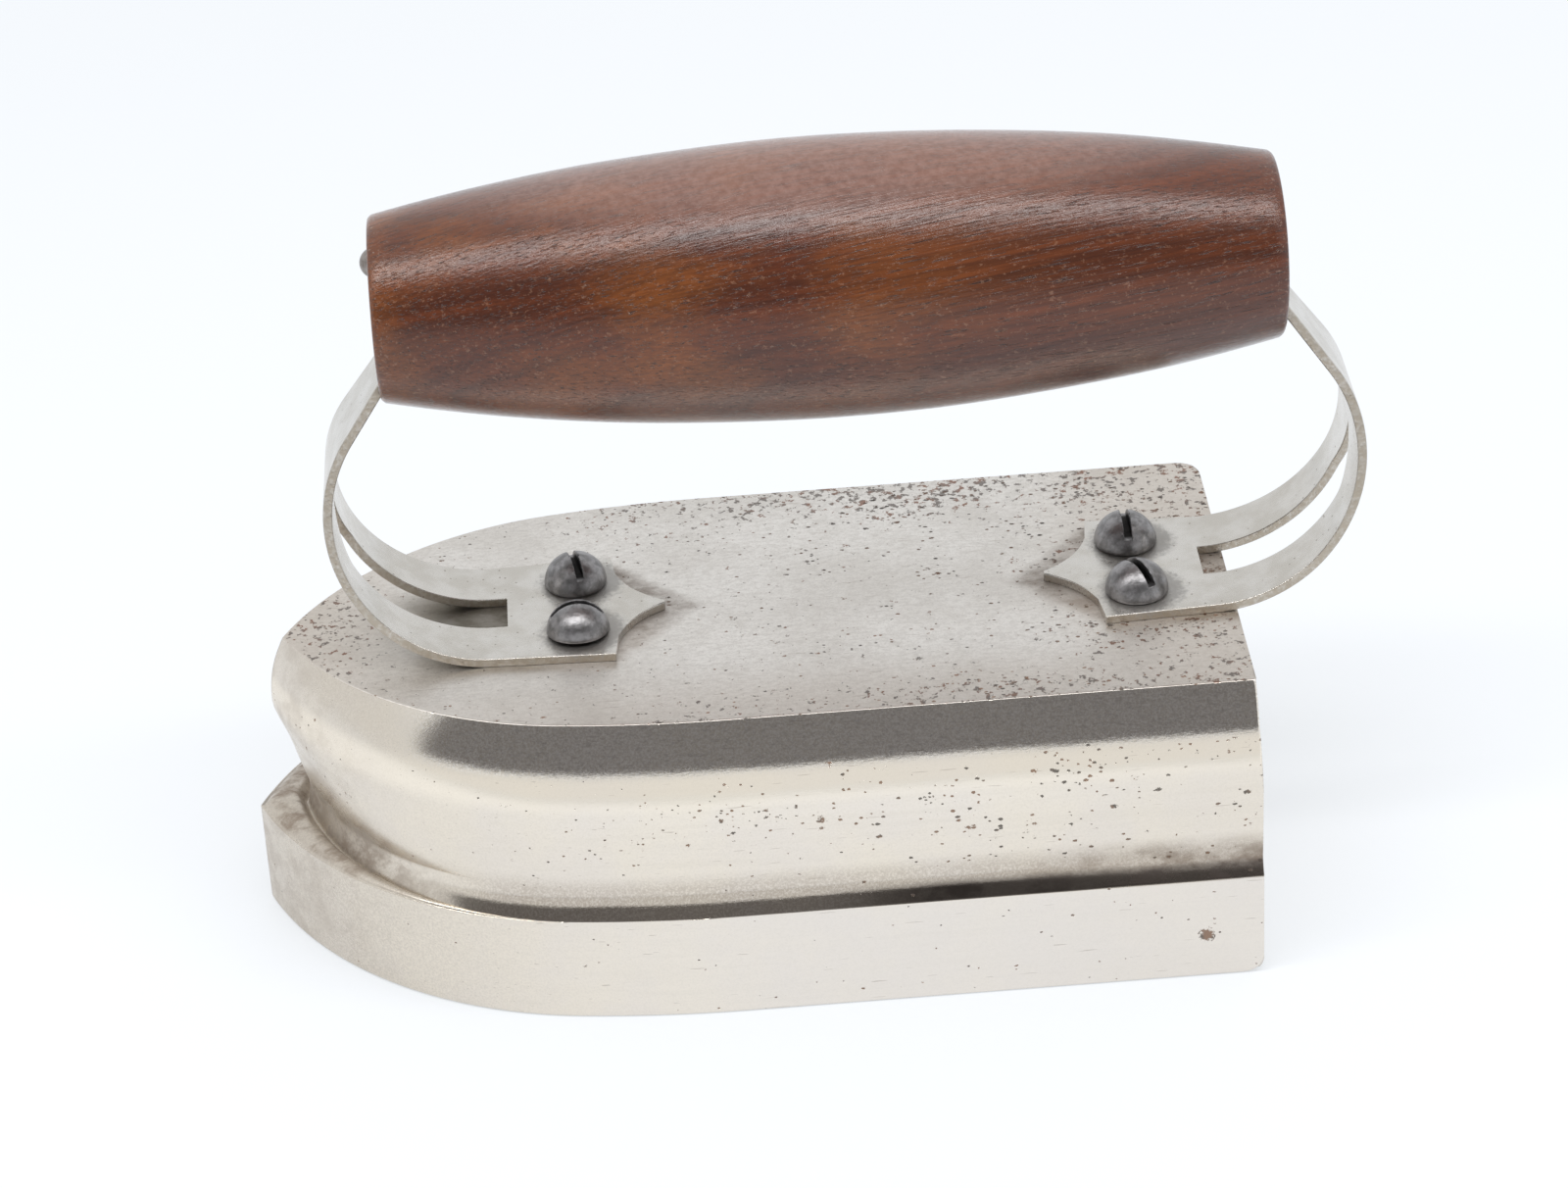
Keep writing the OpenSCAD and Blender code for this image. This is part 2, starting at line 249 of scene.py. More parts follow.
def crown_half(z, tuck=SIDE_TUCK, cove_h=COVE_H):
    """Half width of the crown at a height on the straight part, with the cove at its foot."""
    if z > BELLY_Z:
        return BELLY_HALF - LIP_R + math.sqrt(LIP_R**2 - (z - BELLY_Z) ** 2)
    return BELLY_HALF - tuck * ((BELLY_Z - z) / (BELLY_Z - FLANGE_H)) ** 2 + cove(z, tuck, cove_h)


def cove(z, tuck=SIDE_TUCK, cove_h=COVE_H):
    """Spread of the crown's foot: slanting at first, then rounding up into the wall."""
    down = min(1, max(0, (FLANGE_H + cove_h - z) / cove_h))
    return (FLANGE_HALF - EDGE_EASE - BELLY_HALF + tuck) * down**COVE_CURVE


def crown_tip(z):
    """Foremost point of the crown at a height: a nose that leans forward, then rounds back to the top."""
    if z < NOSE_LIP_Z:
        under = NOSE_LIP_Z - z
        return NOSE_LIP_X + NOSE_RAKE * under * smooth(*NOSE_RAKE_START, under) - COVE_AT_NOSE * cove(z)
    return NOSE_LIP_X + NOSE_LIP_R - math.sqrt(NOSE_LIP_R**2 - (z - NOSE_LIP_Z) ** 2)


def level(outline, inset, z):
    """A row of the body that follows an outline at one height."""

    def place(run):
        p = outline.point(inset, run)
        return Vector((p.x, p.y, z))

    return place


def ledge(flange, foot, share, rise):
    """A row part way from the flange's edge to the crown's foot. Its rise fades where the two are close."""

    def place(run):
        edge, inner = flange.point(EDGE_EASE, run), foot.point(0, run)
        p = edge.lerp(inner, share)
        return Vector((p.x, p.y, FLANGE_H + rise * min(1, (inner - edge).length / NOSE_LEDGE_LEN)))

    return place


def body_rows():
    """Rows from the sole up, then the numbers of the flange wall's last row and of the crown's foot."""
    flange = Outline(FLANGE_HALF, NOSE_X)
    foot = Outline(crown_half(FLANGE_H), crown_tip(FLANGE_H))
    top = Outline(TOP_HALF, TOP_TIP_X)
    rows = [level(flange, SOLE_EASE, 0)]
    for a in SOLE_EASE_TURNS:
        rows.append(level(flange, SOLE_EASE * (1 - math.sin(a)), SOLE_EASE * (1 - math.cos(a))))
    rows += [level(flange, 0, z) for z in WALL_ROWS]
    wall_top = len(rows)
    rows.append(level(flange, EDGE_EASE, FLANGE_H))
    rows += [ledge(flange, foot, share, rise) for share, rise in NOSE_LEDGE]
    waist = len(rows) - 1
    bends = (FLANGE_H, FLANGE_H + COVE_H, NOSE_LIP_Z, BODY_H - LIP_DROP)
    for low, high in zip(bends, bends[1:]):
        for z in spread(low, high, CROWN_STEPS)[1:]:
            rows.append(level(Outline(crown_half(z), crown_tip(z)), 0, z))
    rows.append(level(top, TOP_INSET, BODY_H - TOP_DROP))
    rows.append(level(top, TOP_INSET + TOP_EASE, BODY_H))
    return rows, wall_top, waist


def body_runs():
    """Where the points of a row lie along the outline, from the heel to the tip of the nose."""
    straight = HEEL_X - SHOULDER_X
    runs = [d / straight for d in HEEL_STEPS]
    runs += spread(HEEL_STEPS[-1] / straight, 1, STRAIGHT_STEPS)[1:]
    runs += spread(1, 2, SHOULDER_STEPS)[1:]
    runs += [3 - (1 - t) ** NOSE_CROWDING for t in spread(0, 1, NOSE_STEPS)[1:]]
    return runs


def heel_shape(point):
    """Rounds the sole's rear edge, and the rear corners of the crown in plan."""
    x, y, z = point
    u, v = (x - HEEL_X) / HEEL_ROUND + 1, 1 - z / HEEL_ROUND
    if u > 0 and v > 0:
        keep = max(u, v) / math.hypot(u, v)
        x, z = HEEL_X + (u * keep - 1) * HEEL_ROUND, (1 - v * keep) * HEEL_ROUND
    radius = (FAR_CORNER_R if y > 0 else NEAR_CORNER_R) * smooth(*CORNER_START, z)
    if radius > CORNER_LEAST:
        half = crown_half(min(z, BODY_H))
        u, v = (x - HEEL_X) / radius + 1, (abs(y) - half) / radius + 1
        if u > 0 and v > 0:
            keep = max(u, v) / math.hypot(u, v)
            x = HEEL_X + (u * keep - 1) * radius
            y = math.copysign(half + (v * keep - 1) * radius, y)
    return Vector((x, y, z))


def cast_surface(v):
    """A point of the body moved by the casting's unevenness, the wider foot at the heel and the nick."""
    wave = sum(height * noise.noise(v * fineness) for height, fineness in CAST_WAVES)
    shift = Vector((0, 0, 0))
    if WAVE_MARGIN < v.z < BODY_H - WAVE_MARGIN and v.x < HEEL_X - HEEL_WAVE_MARGIN:
        along = wave * (STRAIGHT_WAVE if v.x > STRAIGHT_WAVE_X else 1)
        shift = Vector((along, math.copysign(wave, v.y) if v.y else 0, 0))
    if FLANGE_H < v.z < BELLY_Z:
        heel_half = crown_half(v.z, HEEL_TUCK, HEEL_COVE_H)
        widen = (heel_half / crown_half(v.z) - 1) * smooth(*HEEL_COVE_FADE, v.x)
        shift.y += v.y * widen
    off_nick = (v.x - NICK_X) ** 2 + (v.y * NICK_ACROSS) ** 2 + ((v.z - NICK_Z) * NICK_UP) ** 2
    shift.x += NICK_DEPTH * math.exp(-off_nick / NICK_SPREAD)
    return v + shift


def weigh_heel_edges(mesh):
    """Bevel weight on the edges round the flat heel face."""
    weight = mesh.attributes.new("bevel_weight_edge", "FLOAT", "EDGE")
    sides = {}
    for face in mesh.polygons:
        for key in face.edge_keys:
            sides.setdefault(key, []).append(face.normal)
    for edge in mesh.edges:
        ends = [mesh.vertices[k].co / MM for k in edge.vertices]
        at_heel = all(p.x > HEEL_X - HEEL_FACE_DEPTH and p.z > HEEL_ROUND for p in ends)
        normals = sides[edge.key]
        if at_heel and len(normals) == 2 and normals[0].dot(normals[1]) < HEEL_EDGE_COS:
            weight.data[edge.index].value = 1


def make_body():
    rows, wall_top, waist = body_rows()
    runs = body_runs()
    tip = len(runs) - 1
    last = 2 * tip
    verts, grid, faces = [], [], []

    def add(point):
        verts.append(heel_shape(point))
        return len(verts) - 1

    def cross_row(left, right):
        """A row of points from one vertex to the one across the body."""
        a, b = verts[left], verts[right]
        if left == right:
            return [left] * (len(COLUMNS) + 2)
        middle, half = (a.y + b.y) / 2, (b.y - a.y) / 2
        return [left] + [add((a.x, middle + half * c, a.z)) for c in COLUMNS] + [right]

    def join_rows(point_rows):
        for low, high in zip(point_rows, point_rows[1:]):
            for j in range(len(low) - 1):
                corners = list(dict.fromkeys((low[j], low[j + 1], high[j + 1], high[j])))
                if len(corners) > 2:
                    faces.append(corners)

    for row in rows:
        plan = [row(run) for run in runs]
        near = [add((p.x, -p.y, p.z)) for p in plan[:-1]]
        middle = add((plan[-1].x, 0, plan[-1].z))
        far = [add(p) for p in reversed(plan[:-1])]
        grid.append(near + [middle] + far)
    for low, high in zip(grid, grid[1:]):
        faces += [(low[j], low[j + 1], high[j + 1], high[j]) for j in range(last)]

    for rim in (grid[-1], grid[0]):
        join_rows([cross_row(rim[k], rim[last - k]) for k in range(tip + 1)])
    join_rows([cross_row(row[0], row[last]) for i, row in enumerate(grid) if not wall_top < i < waist])
    for side in (0, last):
        faces.append([row[side] for row in grid[wall_top : waist + 1]])

    verts = [cast_surface(v) for v in verts]
    body = make_piece("iron_body_cast", verts, faces, "iron_body")
    weigh_heel_edges(body.data)
    ease_edges(body, HEEL_EASE)
    return body


# ---------------------------------------------------------------- bows

# Strap: its flat, its bend and its tang
STRAP_T = 1.3
FRONT_FLAT, REAR_FLAT = 24.2, 22.6
BOW_R = 21.8
CURL_END = math.radians(125)
TANG_LEN = 17

# Half widths at the pad's corners, at the foot of the curl and at the grip, and the concave-sided point
PAD_HALF = 13.2
CURL_HALF = 12.3
ENTRY_HALF = 5.2
ENTRY_RISE = 41.8
POINT_LEN = 7.3
POINT_ARC = 13.3
TIP_HALF = 0.5

# Where the points lie, and the strap's worn edges and unevenness (height, fineness)
POINT_STEPS, PAD_STEPS, CURL_STEPS = 14, 8, 56
LEAST_STEP = 0.4
STRAP_RIM = 0.4
STRAP_NARROW = 1.2
NARROW_COLUMNS = (-1, -0.8, -0.6, -0.3, 0, 0.3, 0.6, 0.8, 1)
STRAP_EASE, STRAP_SHARP = 0.16, 50
STRAP_WAVE = (0.05, 0.12)

# Slot: open from its square foot to where it closes. The two columns of points along it go on past both ends
SLOT_FROM_TIP = 22.3
SLOT_HALF = 3.7
SLOT_TAPER_Z = 13
SLOT_TOP_Z = 22
SLOT_REOPEN = 0.25
SLOT_MOST = 0.6
PAD_SLOT_MOST = 0.5
SLOT_COLUMNS = (3, 4)
BARELY = 1e-6


def bow_half_width(s, flat, height):
    """Half width of a strap at a distance from its point."""
    if s < POINT_LEN:
        corner, tip = Vector((POINT_LEN, PAD_HALF)), Vector((0, TIP_HALF))
        chord = tip - corner
        along = chord.normalized()
        across = math.sqrt(POINT_ARC**2 - chord.length_squared / 4) * Vector((along.y, -along.x))
        centre = (corner + tip) / 2 + across
        return centre.y - math.sqrt(max(0, POINT_ARC**2 - (s - centre.x) ** 2))
    if s < flat:
        return PAD_HALF + (CURL_HALF - PAD_HALF) * (s - POINT_LEN) / (flat - POINT_LEN)
    return CURL_HALF - (CURL_HALF - ENTRY_HALF) * height / ENTRY_RISE


def bow_stations(flat, closing):
    """Distances from the point at which the strap has a row of points, one of them where the slot closes."""
    arc = BOW_R * CURL_END
    stations = spread(0, POINT_LEN, POINT_STEPS) + spread(POINT_LEN, SLOT_FROM_TIP, PAD_STEPS)[1:]
    stations += [flat] if flat - SLOT_FROM_TIP > LEAST_STEP else []
    stations += [flat + d for d in spread(0, arc, CURL_STEPS)[1:]] + [flat + arc + TANG_LEN]
    nearest = min(range(len(stations)), key=lambda i: abs(stations[i] - closing))
    stations[nearest] = closing
    return stations


def slot_at(s, half, height, closing):
    """Half width of the slot's columns, and whether the strap is open there."""
    if s < SLOT_FROM_TIP - BARELY:
        return min(SLOT_HALF, half * PAD_SLOT_MOST), False
    if height <= SLOT_TAPER_Z:
        slot = SLOT_HALF
    elif s < closing - BARELY:
        slot = SLOT_HALF * (SLOT_TOP_Z - height) / (SLOT_TOP_Z - SLOT_TAPER_Z)
    else:
        slot = (s - closing) * SLOT_REOPEN
    is_open = height <= SLOT_TAPER_Z or s < closing - BARELY
    return min(slot, half * SLOT_MOST), is_open


def strap_columns(half, slot):
    """Places of a row's points across the strap: even ones where it is too narrow for the slot's."""
    if half < STRAP_NARROW:
        return [half * c for c in NARROW_COLUMNS]
    side = (half - STRAP_RIM, (half + slot) / 2, slot)
    return [-half, *(-c for c in side), 0, *reversed(side), half]


def make_bow(name, node, start_x, out, flat):
    """A slotted strap. start_x is where it starts to curl, and out is -1 at the nose and 1 at the heel."""
    closing = flat + BOW_R * math.acos(1 - SLOT_TOP_Z / BOW_R)
    rows, opened = [], []
    for s in bow_stations(flat, closing):
        angle = min(CURL_END, max(0, (s - flat) / BOW_R))
        straight = max(0, s - flat - BOW_R * CURL_END)
        face = Vector((math.sin(angle), -math.cos(angle)))
        run = Vector((math.cos(angle), math.sin(angle)))
        place = Vector((min(0, s - flat), BOW_R)) + BOW_R * face + straight * run
        half = bow_half_width(s, flat, place.y)
        slot, is_open = slot_at(s, half, place.y, closing)
        rows.append((place, face, strap_columns(half, slot)))
        opened.append(is_open)
    verts, sheets = [], []
    for depth in (0, STRAP_T):
        sheet = []
        for place, face, columns in rows:
            p = place - face * depth
            sheet.append(range(len(verts), len(verts) + len(columns)))
            verts += [(start_x + out * p.x, y, BODY_H + p.y) for y in columns]
        sheets.append(sheet)

    def sheet_faces(sheet):
        """Quads of one side of the strap, without the middle ones where the slot is open."""
        quads = []
        for low, high, is_open in zip(sheet, sheet[1:], opened):
            for k in range(len(low) - 1):
                if not (is_open and k in SLOT_COLUMNS):
                    quads.append([low[k], low[k + 1], high[k + 1], high[k]])
        return quads

    under, upper = (sheet_faces(sheet) for sheet in sheets)
    faces = [quad[::-1] for quad in under] + upper
    edges = dict.fromkeys((a, b) for f in upper for a, b in zip(f, f[1:] + f[:1]))
    shift = len(verts) // 2
    faces += [[a, a - shift, b - shift, b] for a, b in edges if (b, a) not in edges]
    height, fineness = STRAP_WAVE
    verts = [(x, y + height * noise.noise(Vector((x, y, z)) * fineness), z) for x, y, z in verts]
    bow = make_piece(name, verts, faces, node)
    ease_edges(bow, STRAP_EASE, STRAP_SHARP)
    return bow


# ---------------------------------------------------------------- grip and nails

grip_low, grip_high = box_mm("wood_grip")
GRIP_LEN = grip_high.x - grip_low.x
GRIP_MID = (grip_low + grip_high) / 2
GRIP_R = (grip_high.y - grip_low.y) / 2
GRIP_END_R = 12.7
GRIP_EASE = 0.55
GRIP_END_ROWS = (0, 3, 6, 9, 11, GRIP_END_R - GRIP_EASE)
GRIP_STEPS, GRIP_EASE_STEPS, GRIP_RING = 96, 4, 144

# Unevenness of the grip (height, fineness), and the radii over which it sets in on the end faces
GRIP_UNEVEN = (0.12, 0.05)
GRIP_UNEVEN_START = (2, 8)

NAIL_R = 0.9
NAIL_LEN = 20
NAIL_HEAD_H = 1.4
NAIL_GAP = 0.02
NAIL_RIM = 0.98
NAIL_RING, NAIL_DOME_STEPS = 40, 10


def make_grip():
    """A turned barrel, slightly out of round, with eased rims and flat ends."""
    half = GRIP_LEN / 2
    barrel_r = arc_radius(GRIP_R - GRIP_END_R, half)
    end = [(-half, r) for r in GRIP_END_ROWS]
    for a in spread(0, math.pi / 2, GRIP_EASE_STEPS)[1:-1]:
        end.append((-half + GRIP_EASE * (1 - math.cos(a)), GRIP_END_R - GRIP_EASE * (1 - math.sin(a))))
    belly = spread(GRIP_EASE - half, half - GRIP_EASE, GRIP_STEPS)
    profile = end + [(x, GRIP_R - barrel_r + math.sqrt(barrel_r**2 - x * x)) for x in belly]
    profile += [(-x, r) for x, r in reversed(end)]
    height, fineness = GRIP_UNEVEN
    verts = []
    for x, r in profile:
        for k in range(GRIP_RING):
            a = 2 * math.pi * k / GRIP_RING
            out = Vector((0, math.cos(a), math.sin(a)))
            uneven = height * noise.noise((out * r + Vector((x, 0, 0))) * fineness)
            verts.append(GRIP_MID + Vector((x, 0, 0)) + out * (r + uneven * smooth(*GRIP_UNEVEN_START, r)))
    faces = tube_faces(len(profile), GRIP_RING)
    return make_piece("wood_grip_turned", verts, faces, "wood_grip")


def make_nail(name, node, end):
    """A nail with a domed head, driven into the grip's end: -1 is the nose end and 1 the heel end."""
    low, high = box_mm(node)
    head_r = (high.y - low.y) / 2
    dome_r = arc_radius(NAIL_HEAD_H, head_r)
    profile = [(0, -NAIL_LEN), (NAIL_R, -NAIL_LEN), (NAIL_R, NAIL_GAP), (head_r * NAIL_RIM, NAIL_GAP)]
    for a in spread(math.asin(head_r / dome_r), 0, NAIL_DOME_STEPS):
        profile.append((dome_r * math.sin(a), NAIL_HEAD_H - dome_r + dome_r * math.cos(a)))
    face_x = GRIP_MID.x + end * GRIP_LEN / 2
    place = Matrix.Translation((face_x, (low.y + high.y) / 2, (low.z + high.z) / 2))
    place @= Matrix.Rotation(end * math.pi / 2, 4, "Y")
    verts, faces = turned(profile, NAIL_RING, place)
    return make_piece(name, verts, faces, node)


# ---------------------------------------------------------------- screws

HEAD_R = 4.45
HEAD_H = 4.6
HEAD_RIM = 0.6
HEAD_DOME_R = arc_radius(HEAD_H - HEAD_RIM, HEAD_R)
HEAD_UNDERCUT = 0.25
HEAD_GAP = 0.02
HEAD_EASE, HEAD_SHARP = 0.1, 42
HEAD_WORN = (0.012, 0.5)
HEAD_FOOT = -0.5
DOME_STEPS = 22
SLOT_W = 1.1
SLOT_DEPTH = 2.2
SHANK_R = 2.4
SCREW_RING = 72
SCREW_SEAT = BODY_H + STRAP_T
CUTTER_LEN, CUTTER_H = 20, 10


def cut_slot(screw, shape):
    """Cuts a screw's slot with a unit cube placed by a matrix in millimetres."""
    mesh = bpy.data.meshes.new("cutter")
    build = bmesh.new()
    bmesh.ops.create_cube(build, size=1)
    build.transform(Matrix.Scale(MM, 4) @ shape)
    build.to_mesh(mesh)
    build.free()
    cutter = bpy.data.objects.new("cutter", mesh)
    scene.collection.objects.link(cutter)
    cut = screw.modifiers.new("slot", "BOOLEAN")
    cut.operation = "DIFFERENCE"
    cut.solver = "EXACT"
    cut.object = cutter
    bpy.context.view_layer.update()
    evaluated = screw.evaluated_get(bpy.context.evaluated_depsgraph_get())
    slotted = bpy.data.meshes.new_from_object(evaluated)
    screw.modifiers.clear()
    screw.data = slotted
    bpy.data.objects.remove(cutter)
    shade_smooth(slotted)


def make_screw(name, node, turn, lean):
    """Round-head screw. turn is its slot's angle from the X axis and lean its tilt about it, in degrees."""
    low, high = box_mm(node)
    centre = (low + high) / 2
    profile = [(0, low.z - SCREW_SEAT), (SHANK_R, low.z - SCREW_SEAT), (SHANK_R, 0)]
    profile += [(HEAD_R - HEAD_UNDERCUT, -HEAD_GAP), (HEAD_R, HEAD_RIM / 2)]
    for a in spread(math.asin(HEAD_R / HEAD_DOME_R), 0, DOME_STEPS):
        profile.append((HEAD_DOME_R * math.sin(a), HEAD_H - HEAD_DOME_R + HEAD_DOME_R * math.cos(a)))
    place = Matrix.Translation((centre.x, centre.y, SCREW_SEAT))
    tilt = Matrix.Rotation(math.radians(lean), 4, "X")
    verts, faces = turned(profile, SCREW_RING, Matrix.Identity(4))
    depth, fineness = HEAD_WORN
    for i, v in enumerate(verts):
        worn = 1 + depth * noise.noise(v * fineness + centre)
        if v.z > HEAD_FOOT:
            v = tilt @ Vector((v.x * worn, v.y * worn, v.z))
        verts[i] = place @ v
    screw = make_piece(name, verts, faces, node)
    shape = place @ tilt @ Matrix.Rotation(math.radians(turn), 4, "Z")
    shape @= Matrix.Translation((0, 0, HEAD_H - SLOT_DEPTH + CUTTER_H / 2))
    cut_slot(screw, shape @ Matrix.Diagonal((CUTTER_LEN, SLOT_W, CUTTER_H, 1)))
    ease_edges(screw, HEAD_EASE, HEAD_SHARP)
    return screw


# ---------------------------------------------------------------- materials


class Paint:
    """Builds one procedural material. x, y and z are the place on the object, in millimetres."""

    def __init__(self, name):
        self.material = bpy.data.materials.new(name)
        self.material.use_nodes = True
        self.tree = self.material.node_tree
        self.shader = self.tree.nodes["Principled BSDF"]
        self.coords = self.tree.nodes.new("ShaderNodeTexCoord")
        scaled = self.tree.nodes.new("ShaderNodeVectorMath")
        scaled.operation = "SCALE"
        scaled.inputs["Scale"].default_value = 1 / MM
        self.put(scaled.inputs[0], self.coords.outputs["Object"])
        self.place = scaled.outputs["Vector"]
        self.x, self.y, self.z = self.split(self.place)

    def put(self, socket, value):
        if isinstance(value, bpy.types.NodeSocket):
            self.tree.links.new(value, socket)
        elif value is not None:
            socket.default_value = value

    def moved(self, place, origin):
        """A place measured from an origin."""
        node = self.tree.nodes.new("ShaderNodeVectorMath")
        node.operation = "SUBTRACT"
        self.put(node.inputs[0], place)
        self.put(node.inputs[1], tuple(origin))
        return node.outputs["Vector"]

    def length(self, vector):
        node = self.tree.nodes.new("ShaderNodeVectorMath")
        node.operation = "LENGTH"
        self.put(node.inputs[0], vector)
        return node.outputs["Value"]

    def stretch(self, factors, place=None, turn=(0, 0, 0)):
        """A place turned and scaled. A small factor draws a texture out along its axis."""
        node = self.tree.nodes.new("ShaderNodeMapping")
        self.put(node.inputs["Vector"], place or self.place)
        node.inputs["Rotation"].default_value = turn
        node.inputs["Scale"].default_value = factors
        return node.outputs["Vector"]

    def noise(self, place, scale=1.0, detail=3, rough=0.55):
        node = self.tree.nodes.new("ShaderNodeTexNoise")
        self.put(node.inputs["Vector"], place)
        node.inputs["Scale"].default_value = scale
        node.inputs["Detail"].default_value = detail
        node.inputs["Roughness"].default_value = rough
        return node.outputs["Fac"]

    def cells(self, place, scale=1.0):
        """Distance to the nearest cell's middle, and that cell's own random values."""
        node = self.tree.nodes.new("ShaderNodeTexVoronoi")
        self.put(node.inputs["Vector"], place)
        node.inputs["Scale"].default_value = scale
        return node.outputs["Distance"], self.split(node.outputs["Color"])

    def split(self, vector):
        node = self.tree.nodes.new("ShaderNodeSeparateXYZ")
        self.put(node.inputs[0], vector)
        return node.outputs

    def math(self, operation, a, b=None):
        node = self.tree.nodes.new("ShaderNodeMath")
        node.operation = operation
        self.put(node.inputs[0], a)
        self.put(node.inputs[1], b)
        return node.outputs[0]

    def size(self, value):
        """A value without its sign."""
        return self.math("ABSOLUTE", value)

    def minus(self, a, b):
        return self.math("SUBTRACT", a, b)

    def plus(self, *values):
        return reduce(lambda a, b: self.math("ADD", a, b), values)

    def times(self, *values):
        return reduce(lambda a, b: self.math("MULTIPLY", a, b), values)

    def most(self, *values):
        return reduce(lambda a, b: self.math("MAXIMUM", a, b), values)

    def ramp(self, value, low, high, start=0.0, end=1.0):
        """Smooth step of a value between low and high, from start to end."""
        node = self.tree.nodes.new("ShaderNodeMapRange")
        node.interpolation_type = "SMOOTHSTEP"
        self.put(node.inputs["Value"], value)
        for key, number in (("From Min", low), ("From Max", high), ("To Min", start), ("To Max", end)):
            self.put(node.inputs[key], number)
        return node.outputs["Result"]

    def mix(self, amount, a, b):
        """Colour a where the amount is 0 and colour b where it is 1."""
        node = self.tree.nodes.new("ShaderNodeMix")
        node.data_type = "RGBA"
        sockets = [s for s in node.inputs if s.type == "RGBA"]
        factor = [s for s in node.inputs if s.name == "Factor" and s.type == "VALUE"][0]
        self.put(factor, amount)
        for socket, value in zip(sockets, (a, b)):
            self.put(socket, value if isinstance(value, bpy.types.NodeSocket) else (*value, 1))
        return [s for s in node.outputs if s.type == "RGBA"][0]

    def bump(self, height, distance, below=None):
        """Normal of a height in millimetres, on top of another bump."""
        node = self.tree.nodes.new("ShaderNodeBump")
        self.put(node.inputs["Height"], height)
        node.inputs["Distance"].default_value = distance * MM
        node.inputs["Strength"].default_value = 1.0
        self.put(node.inputs["Normal"], below)
        return node.outputs["Normal"]

    def finish(self, colour, rough, metal, normal, **fixed):
        self.put(self.shader.inputs["Base Color"], colour)
        self.put(self.shader.inputs["Roughness"], rough)
        self.put(self.shader.inputs["Metallic"], metal)
        self.put(self.shader.inputs["Normal"], normal)
        for key, value in fixed.items():
            self.shader.inputs[key.replace("_", " ")].default_value = value
        return self.material


front_screw = middle_mm("front_screw_far")
rear_screw = middle_mm("rear_screw_far")
SCREW_PLACES = [(screw.x, side * screw.y) for screw in (front_screw, rear_screw) for side in (-1, 1)]

# Plate on the casting's polished side, then on its satin top
NICKEL_WARM, NICKEL_COOL = (0.825, 0.76, 0.66), (0.80, 0.742, 0.67)
SIDE_STREAK, SIDE_CRUMB = (0.66, 0.61, 0.53), (0.60, 0.55, 0.48)
NOSE_DULL, NOSE_WARM, HEEL_DULL = (0.57, 0.52, 0.46), (0.66, 0.59, 0.49), (0.60, 0.545, 0.48)
# The second colour on the next line is a painted reflection for the belly.
FLANGE_PALE, BELLY_PAINTED_REFLECTION = (0.79, 0.75, 0.715), (0.99, 0.90, 0.76)
LEDGE_DIRT = (0.38, 0.32, 0.26)
LIP_LIGHT, LIP_MOTTLE = (1.0, 0.96, 0.90), (0.48, 0.45, 0.43)
TOP_LIGHT, TOP_DARK = (0.87, 0.84, 0.80), (0.76, 0.725, 0.68)
TOP_GRAIN, TOP_CRUMB, TOP_BROWN = (0.58, 0.545, 0.50), (0.50, 0.46, 0.42), (0.60, 0.52, 0.44)

# Marks on the casting, and stain colours that also paint shade round the pads, along the crown's foot and
# under the front curl
SPECK_GREY, SPECK_RUST = (0.17, 0.145, 0.13), (0.24, 0.11, 0.065)
SCRATCH = (0.42, 0.36, 0.31)
PIT_BLACK, PIT_RUST = (0.06, 0.048, 0.038), (0.21, 0.11, 0.06)
STAIN_AND_SHADE, BAND_SHADE_AND_STAIN, CURL_SHADE_AND_STAIN = (0.17, 0.115, 0.075), (0.12, 0.10, 0.088), (0.13, 0.115, 0.085)
BLOT_X, BLOT_Z = 62, 7


def side_plate(p, cloud, crumb):
    """Colour of the polished side: streaked nickel, duller at the nose and the heel, with a painted
    reflection lightening the belly.
    """
    x, z = p.x, p.z
    side = p.mix(p.ramp(cloud, 0.35, 0.65), NICKEL_WARM, NICKEL_COOL)
    streak = p.noise(p.stretch((0.03, 0.6, 1.1)), 1.0, 5, 0.65)
    side = p.mix(p.ramp(streak, 0.45, 0.7, 0, 0.16), side, SIDE_STREAK)
    side = p.mix(p.ramp(crumb, 0.42, 0.68, 0, 0.22), side, SIDE_CRUMB)
    dull = p.times(p.ramp(x, -20, -62), p.ramp(z, 24, 14, 0.35, 1), p.ramp(crumb, 0.34, 0.66, 0.25, 0.9))
    side = p.mix(dull, side, NOSE_DULL)
    side = p.mix(p.ramp(x, 25, 66, 0, 0.16), side, HEEL_DULL)
    flange = p.times(p.ramp(z, FLANGE_H, FLANGE_H - 0.2), p.ramp(x, -50, 20))
    side = p.mix(p.times(flange, 0.45), side, FLANGE_PALE)
    side = p.mix(p.ramp(x, -5, -50, 0, 0.18), side, NOSE_WARM)
    # A lighter, warmer band on the belly: painted reflection that lifts the dimmer reflection there
    belly = p.times(p.ramp(z, 32.4, 35.2), p.ramp(z, 39, 37))
    side = p.mix(p.times(belly, 0.45), side, BELLY_PAINTED_REFLECTION)
    dirt = p.times(p.ramp(z, 23.5, 19), above_flange(p))
    dirt = p.times(dirt, p.times(p.ramp(x, -46, -32), p.ramp(crumb, 0.3, 0.6, 0.2, 0.6)))
    side = p.mix(dirt, side, LEDGE_DIRT)
    lip = p.times(p.ramp(z, 37.5, 39), p.ramp(x, -50, -38))
    side = p.mix(p.times(lip, p.ramp(crumb, 0.35, 0.65)), side, LIP_LIGHT)
    mottle = p.noise(p.stretch((0.5, 1, 1)), 2.2, 5, 0.8)
    return p.mix(p.times(lip, p.ramp(mottle, 0.48, 0.66, 0, 0.45)), side, LIP_MOTTLE)


def above_flange(p):
    """0 on the flange's wall and 1 above it."""
    return p.ramp(p.z, FLANGE_H - 0.02, FLANGE_H + 0.15)


